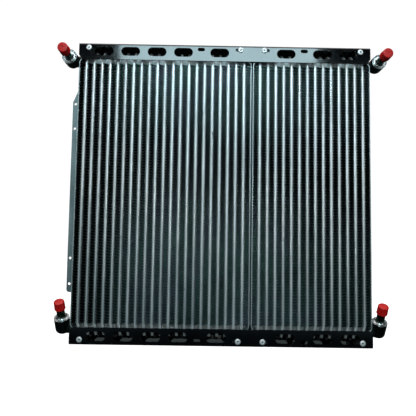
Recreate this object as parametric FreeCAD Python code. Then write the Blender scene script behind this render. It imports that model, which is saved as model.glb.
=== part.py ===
import FreeCAD, Part
import math
import os

# Hydraulic oil cooler: two brazed aluminium cores of drawn-cup tubes, side by side in one pair
# of black channel brackets.  Millimetres, X to the right, +Z up, the ports face -Y.
# Origin: middle of the bottom bracket's outer face, at mid depth.

# --- overall ---
overall_height = 450.0      # outer face of one bracket to outer face of the other
core_depth = 50.0           # along Y

# --- drawn-cup tubes ---
tubes_left = 21
tubes_right = 14
tube_pitch = 12.0
tube_thickness = 4.0
tube_wall = 0.6
tube_tip_gap = 4.5          # rounded end of a tube to the bracket's outer face
gallery_height = 19.0       # oil gallery's centre line to the bracket's outer face
gallery_radius = 7.2        # bore through the cups
cup_radius = 9.0
cup_foot_radius = 9.6       # where the cup is drawn out of the tube's flat
cup_foot_height = 0.8
cup_blank_sheet = 1.5       # disc that closes the last cup
cup_blank_spigot = 2.0      # how far the disc's centre reaches into the bore
gallery_fit = 0.1

# --- fins ---
fin_above_gallery = 11.0    # first fin wave above the gallery's centre line
fin_wave = 4.24             # wanted length of one wave
fin_sheet = 0.2
turbulator_wave = 4.0
turbulator_sheet = 0.15
turbulator_margin = 3.0     # kept clear of the tube's rim and of its shoulders

# --- side plates, one on each side of each core ---
side_sheet = 1.0
core_gap = 2.4              # air between the two cores' side plates
hook_radius = 7.0           # outer radius of the side plate's rolled ends
hook_notch_gap = 1.2        # notch in the rolled end, round the cup

# --- channel brackets ---
bracket_overhang = 11.0     # bracket beyond the outer tubes' centre lines
bracket_sheet = 2.0
bracket_flange = 25.0       # flange height with the web
bracket_bend = 3.0          # outer radius of the bends
bracket_clearance = 1.0     # core to flange
corner_cut_x = 5.0
corner_cut_z = 6.5
window_length = 28.5
window_height = 13.8
window_line = 12.3          # centre of the windows to the bracket's outer face
window_pitch = 40.0
window_step = 55.0          # between two windows that have a mounting slot between them
window_left_first = 27.2    # first window, from the leftmost tube
window_right_first = 51.0   # first window right of the gap between the cores
rivet_line = 7.5            # rivets and slots to the bracket's outer face
mount_slot_left = -78.0     # left mounting slot, from the gap between the cores
mount_slot_spacing = 156.5
mount_slot_length = 11.0
mount_slot_width = 5.5
rivet_outer = 4.2           # outer rivets, inwards of the outer tubes
rivet_inner = 18.0          # inner rivets, from the gap between the cores
rivet_slot_length = 12.0
rivet_slot_bias = 2.0       # inner rivets sit off the middle of their slots

# --- rivets and saddle blocks ---
rivet_radius = 2.4
rivet_fit = 0.05
rivet_head_radius = 4.25
rivet_head_height = 1.2
rivet_grip = 8.0            # length in the saddle block
mandrel_radius = 1.3
mandrel_depth = 1.6
block_width = 14.0
block_lower = 3.2           # from the bracket's outer face
block_upper = 12.0
block_depth = 17.5
block_bore_depth = 11.0

# --- ports ---
port_reach = 28.2           # port axis beyond the last tube's centre line
leg_radius = 8.3
leg_bore = 6.0
boss_radius = 11.25
top_port_rise = 1.0         # top ports above the gallery's centre line
boss_top = 19.5             # ring face, from the gallery's centre line
boss_back = 6.0
boss_rounding = 5.5
boss_bore = 7.0
stub_seat_radius = 9.0
stub_seat_depth = 5.0
stub_fit = 0.03
stub_radius = 6.0
stub_bore = 4.2
stub_flare = 2.4            # fillet radius at the stub's foot
top_stub_length = 30.5      # ring face to the stub's end
bottom_stub_length = 27.0
stub_chamfer = 0.8
top_port_angle = 0.0        # above straight forward
bottom_port_angle = 60.0

# --- protective caps, pulled off by hand ---
cap_length = 13.4
cap_radius = 8.0
cap_end_wall = 2.0
cap_fit = 0.12
cap_end_gap = 0.5
cap_rounding = 1.3

# --- rail on the left side plate ---
rail_sheet = 1.5
rail_bottom = 74.0
rail_top = 380.0
rail_taper = 19.0           # length of the sloping upper corner
rail_corner = 4.0
rail_flange = 8.0
rail_web_half = 17.0
rail_hole_radius = 2.0
rail_hole_pair = 38.0
rail_hole_end = 12.3        # lowest hole above the rail's lower end
rail_hole_span = 272.0      # lowest hole to highest hole

# --- derived places ---
half_depth = core_depth / 2
half_tube = tube_thickness / 2
fin_height = tube_pitch - tube_thickness
side_reach = half_tube + fin_height + side_sheet     # tube centre line to side plate's outside
cup_reach = tube_pitch / 2                           # tube centre line to cup's face
core_step = 2 * side_reach + core_gap                # last left tube to first right tube
tube_span = (tubes_left - 1 + tubes_right - 1) * tube_pitch + core_step
first_left = -tube_span / 2
first_right = first_left + (tubes_left - 1) * tube_pitch + core_step
core_middle = first_right - core_step / 2            # X of the gap between the cores
tube_end_radius = gallery_height - tube_tip_gap
fin_setback = gallery_height + fin_above_gallery     # first fin wave to the bracket's outer face
port_x = tube_span / 2 + port_reach
flange_inner = half_depth + bracket_clearance
flange_outer = flange_inner + bracket_sheet
rail_x = tube_span / 2 + side_reach
bracket_half = tube_span / 2 + bracket_overhang
outer_rivet_x = tube_span / 2 - rivet_outer
mount_slot_x = (core_middle + mount_slot_left, core_middle + mount_slot_left + mount_slot_spacing)

X_AXIS = FreeCAD.Vector(1, 0, 0)
Y_AXIS = FreeCAD.Vector(0, 1, 0)
Z_AXIS = FreeCAD.Vector(0, 0, 1)


def vec(x, y, z):
    return FreeCAD.Vector(x, y, z)


def box(x0, x1, y0, y1, z0, z1):
    return Part.makeBox(x1 - x0, y1 - y0, z1 - z0, vec(x0, y0, z0))


def face_of(points):
    return Part.Face(Part.makePolygon(points + [points[0]]))


def obround(x, z, length, width):
    """Slot-shaped cutter, long along X, that runs through both flanges of a bracket."""
    reach = flange_outer + 1
    radius = width / 2
    straight = length / 2 - radius
    cutter = box(x - straight, x + straight, -reach, reach, z - radius, z + radius)
    for end in (x - straight, x + straight):
        cutter = cutter.fuse(Part.makeCylinder(radius, 2 * reach, vec(end, -reach, z), Y_AXIS))
    return cutter.removeSplitter()


def round_cutter(x, z, radius):
    reach = flange_outer + 1
    return Part.makeCylinder(radius, 2 * reach, vec(x, -reach, z), Y_AXIS)


def turned_over(shape):
    """The same shape at the other end of the cooler, mirrored top to bottom."""
    return shape.mirror(vec(0, 0, overall_height / 2), Z_AXIS)


def zigzag(waves, wave, reach, shift):
    """Points (across, along) of a zigzag sheet's edge line that starts at along = 0."""
    points = []
    for i in range(2 * waves + 1):
        across = -reach if i % 2 == 0 else reach - shift
        points.append((across, i * wave / 2))
    return points


def corrugated(waves, wave, reach, sheet):
    """Closed outline (across, along) of a corrugated sheet between two flats 2 * reach apart."""
    # One half wave leans 2 * reach - shift across; the shift gives the sheet its thickness.
    shift = sheet * math.hypot(2 * reach, wave / 2) / (wave / 2)
    near = zigzag(waves, wave, reach, shift)
    far = [(across + shift, along) for across, along in reversed(near)]
    return near + far


# --- tubes ---

def tube_end_points():
    """Half outline (y, z) of a tube's lower end: shoulder corner, tangent point and tip."""
    rise = fin_setback - gallery_height
    distance = math.hypot(half_depth, rise)
    angle = math.atan2(rise, half_depth) - math.acos(tube_end_radius / distance)
    tangent_y = tube_end_radius * math.cos(angle)
    tangent_z = gallery_height + tube_end_radius * math.sin(angle)
    tip_z = gallery_height - tube_end_radius
    return (half_depth, fin_setback), (tangent_y, tangent_z), (0.0, tip_z)


def tube_outline():
    """Face in the YZ plane: a long strip with tapered shoulders and round ends."""
    corner, tangent, tip = tube_end_points()
    edges = []
    for top in (False, True):
        def at(y, z):
            return vec(0, y, overall_height - z if top else z)
        edges.append(Part.makeLine(at(-corner[0], corner[1]), at(-tangent[0], tangent[1])))
        arc = Part.Arc(at(-tangent[0], tangent[1]), at(*tip), at(tangent[0], tangent[1]))
        edges.append(arc.toShape())
        edges.append(Part.makeLine(at(tangent[0], tangent[1]), at(corner[0], corner[1])))
    for side in (-1, 1):
        start = vec(0, side * corner[0], corner[1])
        end = vec(0, side * corner[0], overall_height - corner[1])
        edges.append(Part.makeLine(start, end))
    return Part.Face(Part.Wire(Part.__sortEdges__(edges)))


def cup_pair(z):
    """Both cups of one tube at one gallery, drawn outwards on either side."""
    cups = Part.makeCylinder(cup_radius, 2 * cup_reach, vec(-cup_reach, 0, z), X_AXIS)
    for side in (-1, 1):
        start = vec(side * half_tube, 0, z)
        foot = Part.makeCone(cup_foot_radius, cup_radius, cup_foot_height, start, X_AXIS * side)
        cups = cups.fuse(foot)
    return cups


def tube_at_origin():
    """One hollow tube with its four cups and the galleries through them."""
    outline = tube_outline()
    body = outline.extrude(X_AXIS * tube_thickness)
    body.translate(X_AXIS * -half_tube)
    inside_half = half_tube - tube_wall
    cavity = outline.makeOffset2D(-tube_wall).extrude(X_AXIS * (2 * inside_half))
    cavity.translate(X_AXIS * -inside_half)
    for z in (gallery_height, overall_height - gallery_height):
        body = body.fuse(cup_pair(z))
    body = body.cut(cavity)
    for z in (gallery_height, overall_height - gallery_height):
        bore = Part.makeCylinder(gallery_radius, 2 * cup_reach, vec(-cup_reach, 0, z), X_AXIS)
        body = body.cut(bore)
    return body.removeSplitter()


def tube_places(first, count):
    return [first + i * tube_pitch for i in range(count)]


def fin_column():
    """One folded fin, centred on x = 0, that fills the air gap between two tubes."""
    height = overall_height - 2 * fin_setback
    waves = round(height / fin_wave)
    outline = corrugated(waves, height / waves, fin_height / 2, fin_sheet)
    points = [vec(x, -half_depth, fin_setback + z) for x, z in outline]
    return face_of(points).extrude(Y_AXIS * core_depth)


def turbulator():
    """Folded strip inside a tube, centred on x = 0, brazed to both walls."""
    width = core_depth - 2 * (tube_wall + turbulator_margin)
    waves = round(width / turbulator_wave)
    outline = corrugated(waves, width / waves, half_tube - tube_wall, turbulator_sheet)
    bottom = fin_setback + turbulator_margin
    points = [vec(x, y - width / 2, bottom) for x, y in outline]
    return face_of(points).extrude(Z_AXIS * (overall_height - 2 * bottom))


def row(shape, places):
    """Copies of one shape at several X places."""
    copies = []
    for x in places:
        copy = shape.copy()
        copy.translate(X_AXIS * x)
        copies.append(copy)
    return Part.makeCompound(copies)


# --- side plates ---

def side_plate(tube_x, side):
    """Sheet that closes a core, with both ends rolled in to the last tube (side = +1 or -1)."""
    outside = tube_x + side * side_reach
    inside = outside - side * side_sheet
    lip_end = tube_x + side * half_tube
    centre_x = outside - side * hook_radius
    bend_z = fin_setback
    lip_z = bend_z - hook_radius
    diagonal = math.sqrt(0.5)
    inner_radius = hook_radius - side_sheet

    def arc(radius, start, end):
        middle = vec(centre_x + side * radius * diagonal, 0, bend_z - radius * diagonal)
        return Part.Arc(start, middle, end).toShape()

    outer_top = vec(outside, 0, bend_z)
    outer_low = vec(centre_x, 0, lip_z)
    inner_top = vec(inside, 0, bend_z)
    inner_low = vec(centre_x, 0, lip_z + side_sheet)
    lip_low = vec(lip_end, 0, lip_z)
    lip_high = vec(lip_end, 0, lip_z + side_sheet)
    edges = [arc(hook_radius, outer_top, outer_low), Part.makeLine(outer_low, lip_low)]
    edges += [Part.makeLine(lip_low, lip_high), Part.makeLine(lip_high, inner_low)]
    edges += [arc(inner_radius, inner_low, inner_top), Part.makeLine(inner_top, outer_top)]
    hook = Part.Face(Part.Wire(edges)).extrude(Y_AXIS * core_depth)
    hook.translate(Y_AXIS * -half_depth)
    notch_radius = cup_radius + hook_notch_gap
    start = vec(tube_x - 2 * side_reach, 0, gallery_height)
    hook = hook.cut(Part.makeCylinder(notch_radius, 4 * side_reach, start, X_AXIS))
    low_x = min(outside, inside)
    plate = box(low_x, low_x + side_sheet, -half_depth, half_depth,
                fin_setback, overall_height - fin_setback)
    return plate.fuse(hook).fuse(turned_over(hook)).removeSplitter()


def cup_blanks():
    """Discs that close the galleries on the sides without ports."""
    last_left = first_left + (tubes_left - 1) * tube_pitch
    discs = []
    for tube_x, side in ((last_left, 1), (first_right, -1)):
        for z in (gallery_height, overall_height - gallery_height):
            start = vec(tube_x + side * cup_reach, 0, z)
            disc = Part.makeCylinder(cup_radius, cup_blank_sheet, start, X_AXIS * side)
            plug_radius = gallery_radius - gallery_fit
            plug = Part.makeCylinder(plug_radius, cup_blank_spigot, start, X_AXIS * -side)
            discs.append(disc.fuse(plug).removeSplitter())
    return Part.makeCompound(discs)


# --- brackets ---

def window_places():
    """X of every flange window: a run of four and one more, then one and a run of two."""
    places = [first_left + window_left_first + i * window_pitch for i in range(4)]
    places.append(places[-1] + window_step)
    places.append(core_middle + window_right_first)
    places.append(places[-1] + window_step)
    places.append(places[-1] + window_pitch)
    return places


def rivet_places():
    """X of the rivets, each with the offset of its slot's middle, or None for a round hole."""
    return [
        (-outer_rivet_x, None),
        (core_middle - rivet_inner, -rivet_slot_bias),
        (core_middle + rivet_inner, rivet_slot_bias),
        (outer_rivet_x, None),
    ]


def bottom_bracket():
    """Channel with its web at the bottom, windows, rivet holes and mounting slots."""
    half = bracket_half
    outer = box(-half, half, -flange_outer, flange_outer, 0, bracket_flange)
    long_bottom = [e for e in outer.Edges
                   if abs(e.BoundBox.ZMax) < 1e-6 and e.BoundBox.XLength > half]
    outer = outer.makeFillet(bracket_bend, long_bottom)
    inner = box(-half, half, -flange_inner, flange_inner, bracket_sheet, bracket_flange + 1)
    long_inner = [e for e in inner.Edges
                  if abs(e.BoundBox.ZMax - bracket_sheet) < 1e-6 and e.BoundBox.XLength > half]
    inner = inner.makeFillet(bracket_bend - bracket_sheet, long_inner)
    channel = outer.cut(inner)
    for side in (-1, 1):
        tip = vec(side * half, -flange_outer - 1, bracket_flange)
        corner = face_of([tip, tip - vec(side * corner_cut_x, 0, 0), tip - vec(0, 0, corner_cut_z)])
        channel = channel.cut(corner.extrude(Y_AXIS * (2 * flange_outer + 2)))
    for x in window_places():
        channel = channel.cut(obround(x, window_line, window_length, window_height))
    for x in mount_slot_x:
        channel = channel.cut(obround(x, rivet_line, mount_slot_length, mount_slot_width))
    hole_radius = rivet_radius + rivet_fit
    for x, slot_offset in rivet_places():
        if slot_offset is None:
            channel = channel.cut(round_cutter(x, rivet_line, hole_radius))
        else:
            slot_x = x + slot_offset
            channel = channel.cut(obround(slot_x, rivet_line, rivet_slot_length, 2 * hole_radius))
    return channel.removeSplitter()


def rivet_and_block(x):
    """Front lower rivet and the saddle block that it holds, at one X place."""
    half = block_width / 2
    block = box(x - half, x + half, -flange_inner, -flange_inner + block_depth,
                block_lower, block_upper)
    envelope = tube_outline().extrude(X_AXIS * (block_width + 2))
    envelope.translate(X_AXIS * (x - half - 1))
    block = block.cut(envelope)
    bore_radius = rivet_radius + rivet_fit
    inner_face = vec(x, -flange_inner, rivet_line)
    block = block.cut(Part.makeCylinder(bore_radius, block_bore_depth, inner_face, Y_AXIS))
    head_base = vec(x, -flange_outer, rivet_line)
    shank = Part.makeCylinder(rivet_radius, bracket_sheet + rivet_grip, head_base, Y_AXIS)
    head = Part.makeCylinder(rivet_head_radius, rivet_head_height, head_base, -Y_AXIS)
    head_face = head_base - Y_AXIS * rivet_head_height
    rim = [e for e in head.Edges if abs(e.BoundBox.YMax - head_face.y) < 1e-6 and e.Length > 1]
    head = head.makeFillet(rivet_head_height * 0.75, rim)
    rivet = shank.fuse(head)
    rivet = rivet.cut(Part.makeCylinder(mandrel_radius, mandrel_depth, head_face, Y_AXIS))
    return rivet, block


def rivets_and_blocks():
    """All sixteen rivets and their blocks: four places, front and rear, bottom and top."""
    rivets = []
    blocks = []
    for x, _ in rivet_places():
        for shape, kept in zip(rivet_and_block(x), (rivets, blocks)):
            rear = shape.mirror(vec(0, 0, 0), Y_AXIS)
            kept += [shape, rear, turned_over(shape), turned_over(rear)]
    return Part.makeCompound(rivets), Part.makeCompound(blocks)


# --- ports ---

def gallery_z(top):
    """Height of the upper or lower oil gallery's centre line."""
    return overall_height - gallery_height if top else gallery_height


def port_frame(side, top):
    """Centre and direction of one port: side is -1 or +1, top is True or False."""
    z = gallery_z(top) + (top_port_rise if top else 0)
    angle = math.radians(top_port_angle if top else bottom_port_angle)
    return vec(side * port_x, 0, z), vec(0, -math.cos(angle), math.sin(angle))


def stub_end(top):
    """Distance of the stub's end from the gallery's centre line, along the port's axis."""
    return boss_top + (top_stub_length if top else bottom_stub_length)


def elbow(side, top):
    """Leg from the last cup to a round boss, bored through, with a seat for the stub."""
    centre, way = port_frame(side, top)
    cup_x = side * (tube_span / 2 + cup_reach)
    leg_start = vec(cup_x, 0, gallery_z(top))
    leg_length = abs(centre.x - cup_x)
    leg = Part.makeCylinder(leg_radius, leg_length, leg_start, X_AXIS * side)
    back = centre - way * boss_back
    boss = Part.makeCylinder(boss_radius, boss_back + boss_top, back, way)
    low_rim = [e for e in boss.Edges if e.Closed and (e.CenterOfMass - back).Length < 1e-3]
    boss = boss.makeFillet(boss_rounding, low_rim)
    body = boss.fuse(leg)
    seat = centre + way * (boss_top - stub_seat_depth)
    body = body.cut(Part.makeCylinder(leg_bore, leg_length, leg_start, X_AXIS * side))
    body = body.cut(Part.makeCylinder(boss_bore, boss_top, centre, way))
    seat_radius = stub_seat_radius + stub_fit
    body = body.cut(Part.makeCylinder(seat_radius, stub_seat_depth + 1, seat, way))
    return body.removeSplitter()


def turned(profile, centre, way):
    """Solid of revolution about a port's axis, from (radius, distance) corner points."""
    points = [vec(radius, 0, along) for radius, along in profile]
    solid = face_of(points).revolve(vec(0, 0, 0), Z_AXIS, 360)
    placed = solid.copy()
    placed.Placement = FreeCAD.Placement(centre, FreeCAD.Rotation(Z_AXIS, way))
    return placed


def stub(side, top):
    """Turned pipe stub, seated in the boss, with a filleted foot and a chamfered end."""
    centre, way = port_frame(side, top)
    end = stub_end(top)
    flare_radius = stub_radius + stub_flare
    corners = [(stub_bore, boss_top - stub_seat_depth), (stub_seat_radius, boss_top - stub_seat_depth),
               (stub_seat_radius, boss_top), (flare_radius, boss_top)]
    points = [vec(radius, 0, along) for radius, along in corners]
    lean = stub_flare * (1 - math.sqrt(0.5))
    arc_middle = vec(stub_radius + lean, 0, boss_top + lean)
    arc_end = vec(stub_radius, 0, boss_top + stub_flare)
    tail = [arc_end, vec(stub_radius, 0, end - stub_chamfer), vec(stub_radius - stub_chamfer, 0, end),
            vec(stub_bore, 0, end), points[0]]
    edges = Part.makePolygon(points).Edges
    edges.append(Part.Arc(points[-1], arc_middle, arc_end).toShape())
    edges += Part.makePolygon(tail).Edges
    solid = Part.Face(Part.Wire(edges)).revolve(vec(0, 0, 0), Z_AXIS, 360)
    solid.Placement = FreeCAD.Placement(centre, FreeCAD.Rotation(Z_AXIS, way))
    return solid


def cap(side, top):
    """Push-on protective cap over the stub's end."""
    centre, way = port_frame(side, top)
    inside = stub_end(top) + cap_end_gap
    face = inside + cap_end_wall
    rim = face - cap_length
    hole = stub_radius + cap_fit
    profile = [(0, inside), (hole, inside), (hole, rim), (cap_radius, rim), (cap_radius, face), (0, face)]
    solid = turned(profile, vec(0, 0, 0), Z_AXIS)
    crown = [e for e in solid.Edges if abs(e.BoundBox.ZMin - face) < 1e-6 and e.Closed]
    solid = solid.makeFillet(cap_rounding, crown)
    solid.Placement = FreeCAD.Placement(centre, FreeCAD.Rotation(Z_AXIS, way))
    return solid


# --- side rail ---

def side_rail():
    """Angle rail on the left side plate, with a perforated flange that faces forwards."""
    web = box(-rail_x - rail_sheet, -rail_x, -rail_web_half, rail_web_half, rail_bottom, rail_top)
    root = -rail_x - rail_sheet
    tip = root - rail_flange
    front = -rail_web_half
    slope_start = rail_top - rail_taper
    outline = [vec(root, front, rail_bottom), vec(tip, front, rail_bottom),
               vec(tip, front, slope_start), vec(root, front, rail_top)]
    flange = face_of(outline).extrude(Y_AXIS * rail_sheet)
    corner = [e for e in flange.Edges if e.BoundBox.ZMax < rail_bottom + 1e-6
              and e.BoundBox.XMax < tip + 1e-6]
    flange = flange.makeFillet(rail_corner, corner)
    lowest = rail_bottom + rail_hole_end
    highest = lowest + rail_hole_span
    for z in (lowest, lowest + rail_hole_pair, highest - rail_hole_pair, highest):
        start = vec((root + tip) / 2, front - 1, z)
        flange = flange.cut(Part.makeCylinder(rail_hole_radius, rail_sheet + 2, start, Y_AXIS))
    return web.fuse(flange).removeSplitter()


def build_cores(nodes):
    tube = tube_at_origin()
    places = {"left": tube_places(first_left, tubes_left),
              "right": tube_places(first_right, tubes_right)}
    for name, xs in places.items():
        for number, x in enumerate(xs, start=1):
            nodes[f"tube_{name}_{number:02d}"] = row(tube, [x]).Solids[0]
        first_gap = xs[0] - tube_pitch / 2
        gaps = tube_places(first_gap, len(xs) + 1)
        nodes[f"fins_{name}"] = row(fin_column(), gaps)
        nodes[f"side_plate_{name}_a"] = side_plate(xs[0], -1)
        nodes[f"side_plate_{name}_b"] = side_plate(xs[-1], 1)
    nodes["turbulators"] = row(turbulator(), places["left"] + places["right"])
    nodes["cup_blanks"] = cup_blanks()


def build_frame(nodes):
    nodes["bracket_bottom"] = bottom_bracket()
    nodes["bracket_top"] = turned_over(nodes["bracket_bottom"])
    nodes["bracket_rivets"], nodes["saddle_blocks"] = rivets_and_blocks()
    nodes["side_rail"] = side_rail()


def build_ports(nodes):
    for side, side_name in ((-1, "left"), (1, "right")):
        for top, end_name in ((True, "top"), (False, "bottom")):
            name = f"{end_name}_{side_name}"
            nodes[f"port_elbow_{name}"] = elbow(side, top)
            nodes[f"port_stub_{name}"] = stub(side, top)
            nodes[f"port_cap_{name}"] = cap(side, top)


def main():
    nodes = {}
    build_cores(nodes)
    build_frame(nodes)
    build_ports(nodes)
    os.makedirs("parts", exist_ok=True)
    for name, shape in nodes.items():
        shape.exportStep(f"parts/{name}.step")
    print(len(nodes), "nodes")


main()
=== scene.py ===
"""Looks of the hydraulic oil cooler: finned cores, channel brackets, ports with caps, light and camera."""

import logging
import math
from dataclasses import dataclass, field
from enum import Enum
from typing import Iterable

import bmesh
import bpy
from mathutils import Matrix, Vector


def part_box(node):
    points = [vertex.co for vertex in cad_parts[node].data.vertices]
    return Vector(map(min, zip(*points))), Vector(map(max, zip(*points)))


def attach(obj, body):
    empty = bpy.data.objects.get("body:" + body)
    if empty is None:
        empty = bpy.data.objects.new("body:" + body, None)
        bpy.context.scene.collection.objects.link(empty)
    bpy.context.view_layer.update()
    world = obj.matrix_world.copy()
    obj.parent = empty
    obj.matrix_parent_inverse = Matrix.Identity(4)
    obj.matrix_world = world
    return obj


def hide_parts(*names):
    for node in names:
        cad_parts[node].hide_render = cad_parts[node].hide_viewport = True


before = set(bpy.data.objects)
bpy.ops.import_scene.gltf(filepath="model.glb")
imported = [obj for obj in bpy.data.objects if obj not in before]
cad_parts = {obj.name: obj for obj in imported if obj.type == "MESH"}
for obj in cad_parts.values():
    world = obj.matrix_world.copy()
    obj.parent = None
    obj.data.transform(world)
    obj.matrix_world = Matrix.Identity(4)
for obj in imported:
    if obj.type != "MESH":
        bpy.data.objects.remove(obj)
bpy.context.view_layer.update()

LOG = logging.getLogger("oil_cooler")
MM = 0.001
MERGE = 1e-6
POLE_MERGE = 1e-7
BODY = "cooler"
NODES: dict[str, bpy.types.Object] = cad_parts
LEFT, RIGHT = -1, 1


class Slot(Enum):
    """The record's material slots."""

    TUBE = "tube_aluminium"
    FIN = "fin_aluminium"
    SIDE = "side_aluminium"
    BRACKET = "bracket_black"
    RIVET = "rivet_aluminium"
    PORT = "port_aluminium"
    CAP = "cap_red"


# ---------------------------------------------------------------- finishes

Colour = tuple[float, float, float]
Stops = tuple[tuple[float, float], ...]


class Nodes:
    """Small helper that wires a Principled material on Object coordinates."""

    def __init__(self, name: str) -> None:
        """Starts a material with a Principled shader.

        Args:
            name: the material's name.
        """
        self.material = bpy.data.materials.new(name)
        self.material.use_nodes = True
        self.tree = self.material.node_tree
        self.shader = self.tree.nodes["Principled BSDF"]
        self.coordinates = self.tree.nodes.new("ShaderNodeTexCoord")

    def link(self, source: bpy.types.NodeSocket, target: bpy.types.NodeSocket) -> None:
        """Joins two sockets."""
        self.tree.links.new(source, target)

    def noise(self, scale: Vector, detail: float = 4.0, roughness: float = 0.5) -> bpy.types.NodeSocket:
        """Noise on Object coordinates, stretched by a different scale along each axis.

        Args:
            scale: noise cells per metre along X, Y and Z.
            detail: octaves of finer noise.
            roughness: how strong the finer octaves are.

        Returns:
            The noise's factor socket, 0 to 1.
        """
        mapping = self.tree.nodes.new("ShaderNodeMapping")
        mapping.inputs["Scale"].default_value = scale
        self.link(self.coordinates.outputs["Object"], mapping.inputs["Vector"])
        texture = self.tree.nodes.new("ShaderNodeTexNoise")
        texture.inputs["Scale"].default_value = 1.0
        texture.inputs["Detail"].default_value = detail
        texture.inputs["Roughness"].default_value = roughness
        self.link(mapping.outputs["Vector"], texture.inputs["Vector"])
        return texture.outputs["Fac"]

    def spread(self, value: bpy.types.NodeSocket, low: float, high: float,
               start: float = 0.3, end: float = 0.7) -> bpy.types.NodeSocket:
        """Maps a noise to a range.

        Args:
            value: the noise.
            low: result at start and under.
            high: result at end and over.
            start: noise value that gives low.
            end: noise value that gives high.

        Returns:
            The mapped value's socket.
        """
        node = self.tree.nodes.new("ShaderNodeMapRange")
        node.inputs["From Min"].default_value = start
        node.inputs["From Max"].default_value = end
        node.inputs["To Min"].default_value = low
        node.inputs["To Max"].default_value = high
        self.link(value, node.inputs["Value"])
        return node.outputs["Result"]

    def blend(self, value: bpy.types.NodeSocket, first: "Colour", second: "Colour",
              start: float = 0.35, end: float = 0.65) -> bpy.types.NodeSocket:
        """Colour ramp between two colours.

        Args:
            value: the driving noise.
            first: colour under start.
            second: colour over end.
            start: ramp's lower stop.
            end: ramp's upper stop.

        Returns:
            The colour socket.
        """
        ramp = self.tree.nodes.new("ShaderNodeValToRGB")
        ramp.color_ramp.elements[0].position = start
        ramp.color_ramp.elements[0].color = (*first, 1.0)
        ramp.color_ramp.elements[1].position = end
        ramp.color_ramp.elements[1].color = (*second, 1.0)
        self.link(value, ramp.inputs["Fac"])
        return ramp.outputs["Color"]

    def layer(self, value: bpy.types.NodeSocket, under: bpy.types.NodeSocket,
              over: Colour) -> bpy.types.NodeSocket:
        """Lays one colour over another where a mask is 1.

        Args:
            value: the mask.
            under: colour socket below.
            over: colour on top.

        Returns:
            The mixed colour's socket.
        """
        mix = self.tree.nodes.new("ShaderNodeMix")
        mix.data_type = "RGBA"
        self.link(value, mix.inputs["Factor"])
        self.link(under, mix.inputs[6])
        mix.inputs[7].default_value = (*over, 1.0)
        return mix.outputs[2]

    def steps(self, axis: str, stops: Stops, before: bpy.types.NodeSocket | None) -> bpy.types.NodeSocket:
        """Value that runs through stops along one axis of the object, times an earlier value.

        Args:
            axis: X, Y or Z.
            stops: (place in metres, value) pairs in rising order.
            before: value to multiply by, or None.

        Returns:
            The value's socket.
        """
        split = self.tree.nodes.new("ShaderNodeSeparateXYZ")
        self.link(self.coordinates.outputs["Object"], split.inputs["Vector"])
        curve = self.tree.nodes.new("ShaderNodeFloatCurve")
        low, high = stops[0][0], stops[-1][0]
        points = curve.mapping.curves[0].points
        while len(points) < len(stops):
            points.new(0.5, 0.5)
        for point, (place, value) in zip(points, stops):
            point.location = ((place - low) / (high - low), value)
        curve.mapping.update()
        reach = self.tree.nodes.new("ShaderNodeMapRange")
        reach.inputs["From Min"].default_value = low
        reach.inputs["From Max"].default_value = high
        self.link(split.outputs[axis], reach.inputs["Value"])
        self.link(reach.outputs["Result"], curve.inputs["Value"])
        if before is None:
            return curve.outputs["Value"]
        product = self.tree.nodes.new("ShaderNodeMath")
        product.operation = "MULTIPLY"
        self.link(curve.outputs["Value"], product.inputs[0])
        self.link(before, product.inputs[1])
        return product.outputs["Value"]

    def relief(self, height: bpy.types.NodeSocket, depth: float,
               below: bpy.types.NodeSocket | None = None) -> bpy.types.NodeSocket:
        """Bump of a given depth in metres.

        Args:
            height: the height map, 0 to 1.
            depth: how deep the bump is, in metres.
            below: normal of the bump under this one.

        Returns:
            The normal socket.
        """
        bump = self.tree.nodes.new("ShaderNodeBump")
        bump.inputs["Strength"].default_value = 1.0
        bump.inputs["Distance"].default_value = depth
        self.link(height, bump.inputs["Height"])
        if below is not None:
            self.link(below, bump.inputs["Normal"])
        return bump.outputs["Normal"]

    def set(self, **values: float) -> None:
        """Sets constants on the shader's own sockets, with underscores for spaces."""
        for name, value in values.items():
            self.shader.inputs[name.replace("_", " ")].default_value = value


@dataclass(frozen=True)
class BareMetal:
    """Mill-finish metal: blotches of tone, drawing lines along one axis, specks of flux."""

    name: str
    dark: Colour
    light: Colour
    rough_low: float
    rough_high: float
    line_scale: tuple[float, float, float] = (2500.0, 2500.0, 30.0)
    line_depth: float = 4e-6
    blotch_scale: tuple[float, float, float] = (60.0, 60.0, 14.0)
    flux: Colour = (0.86, 0.88, 0.88)
    flux_amount: float = 0.5
    metallic: float = 1.0

    def make(self) -> bpy.types.Material:
        """Builds the material."""
        n = Nodes(self.name)
        blotch = n.noise(Vector(self.blotch_scale), 5.0, 0.6)
        lines = n.noise(Vector(self.line_scale), 2.0)
        specks = n.noise(Vector((900.0, 900.0, 700.0)), 3.0, 0.7)
        colour = n.blend(blotch, self.dark, self.light)
        mask = n.spread(specks, 0.0, self.flux_amount, 0.6, 0.72)
        n.link(n.layer(mask, colour, self.flux), n.shader.inputs["Base Color"])
        n.link(n.spread(blotch, self.rough_low, self.rough_high), n.shader.inputs["Roughness"])
        grain = n.relief(lines, self.line_depth)
        n.link(n.relief(specks, self.line_depth * 2, grain), n.shader.inputs["Normal"])
        n.set(Metallic=self.metallic)
        return n.material


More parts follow.
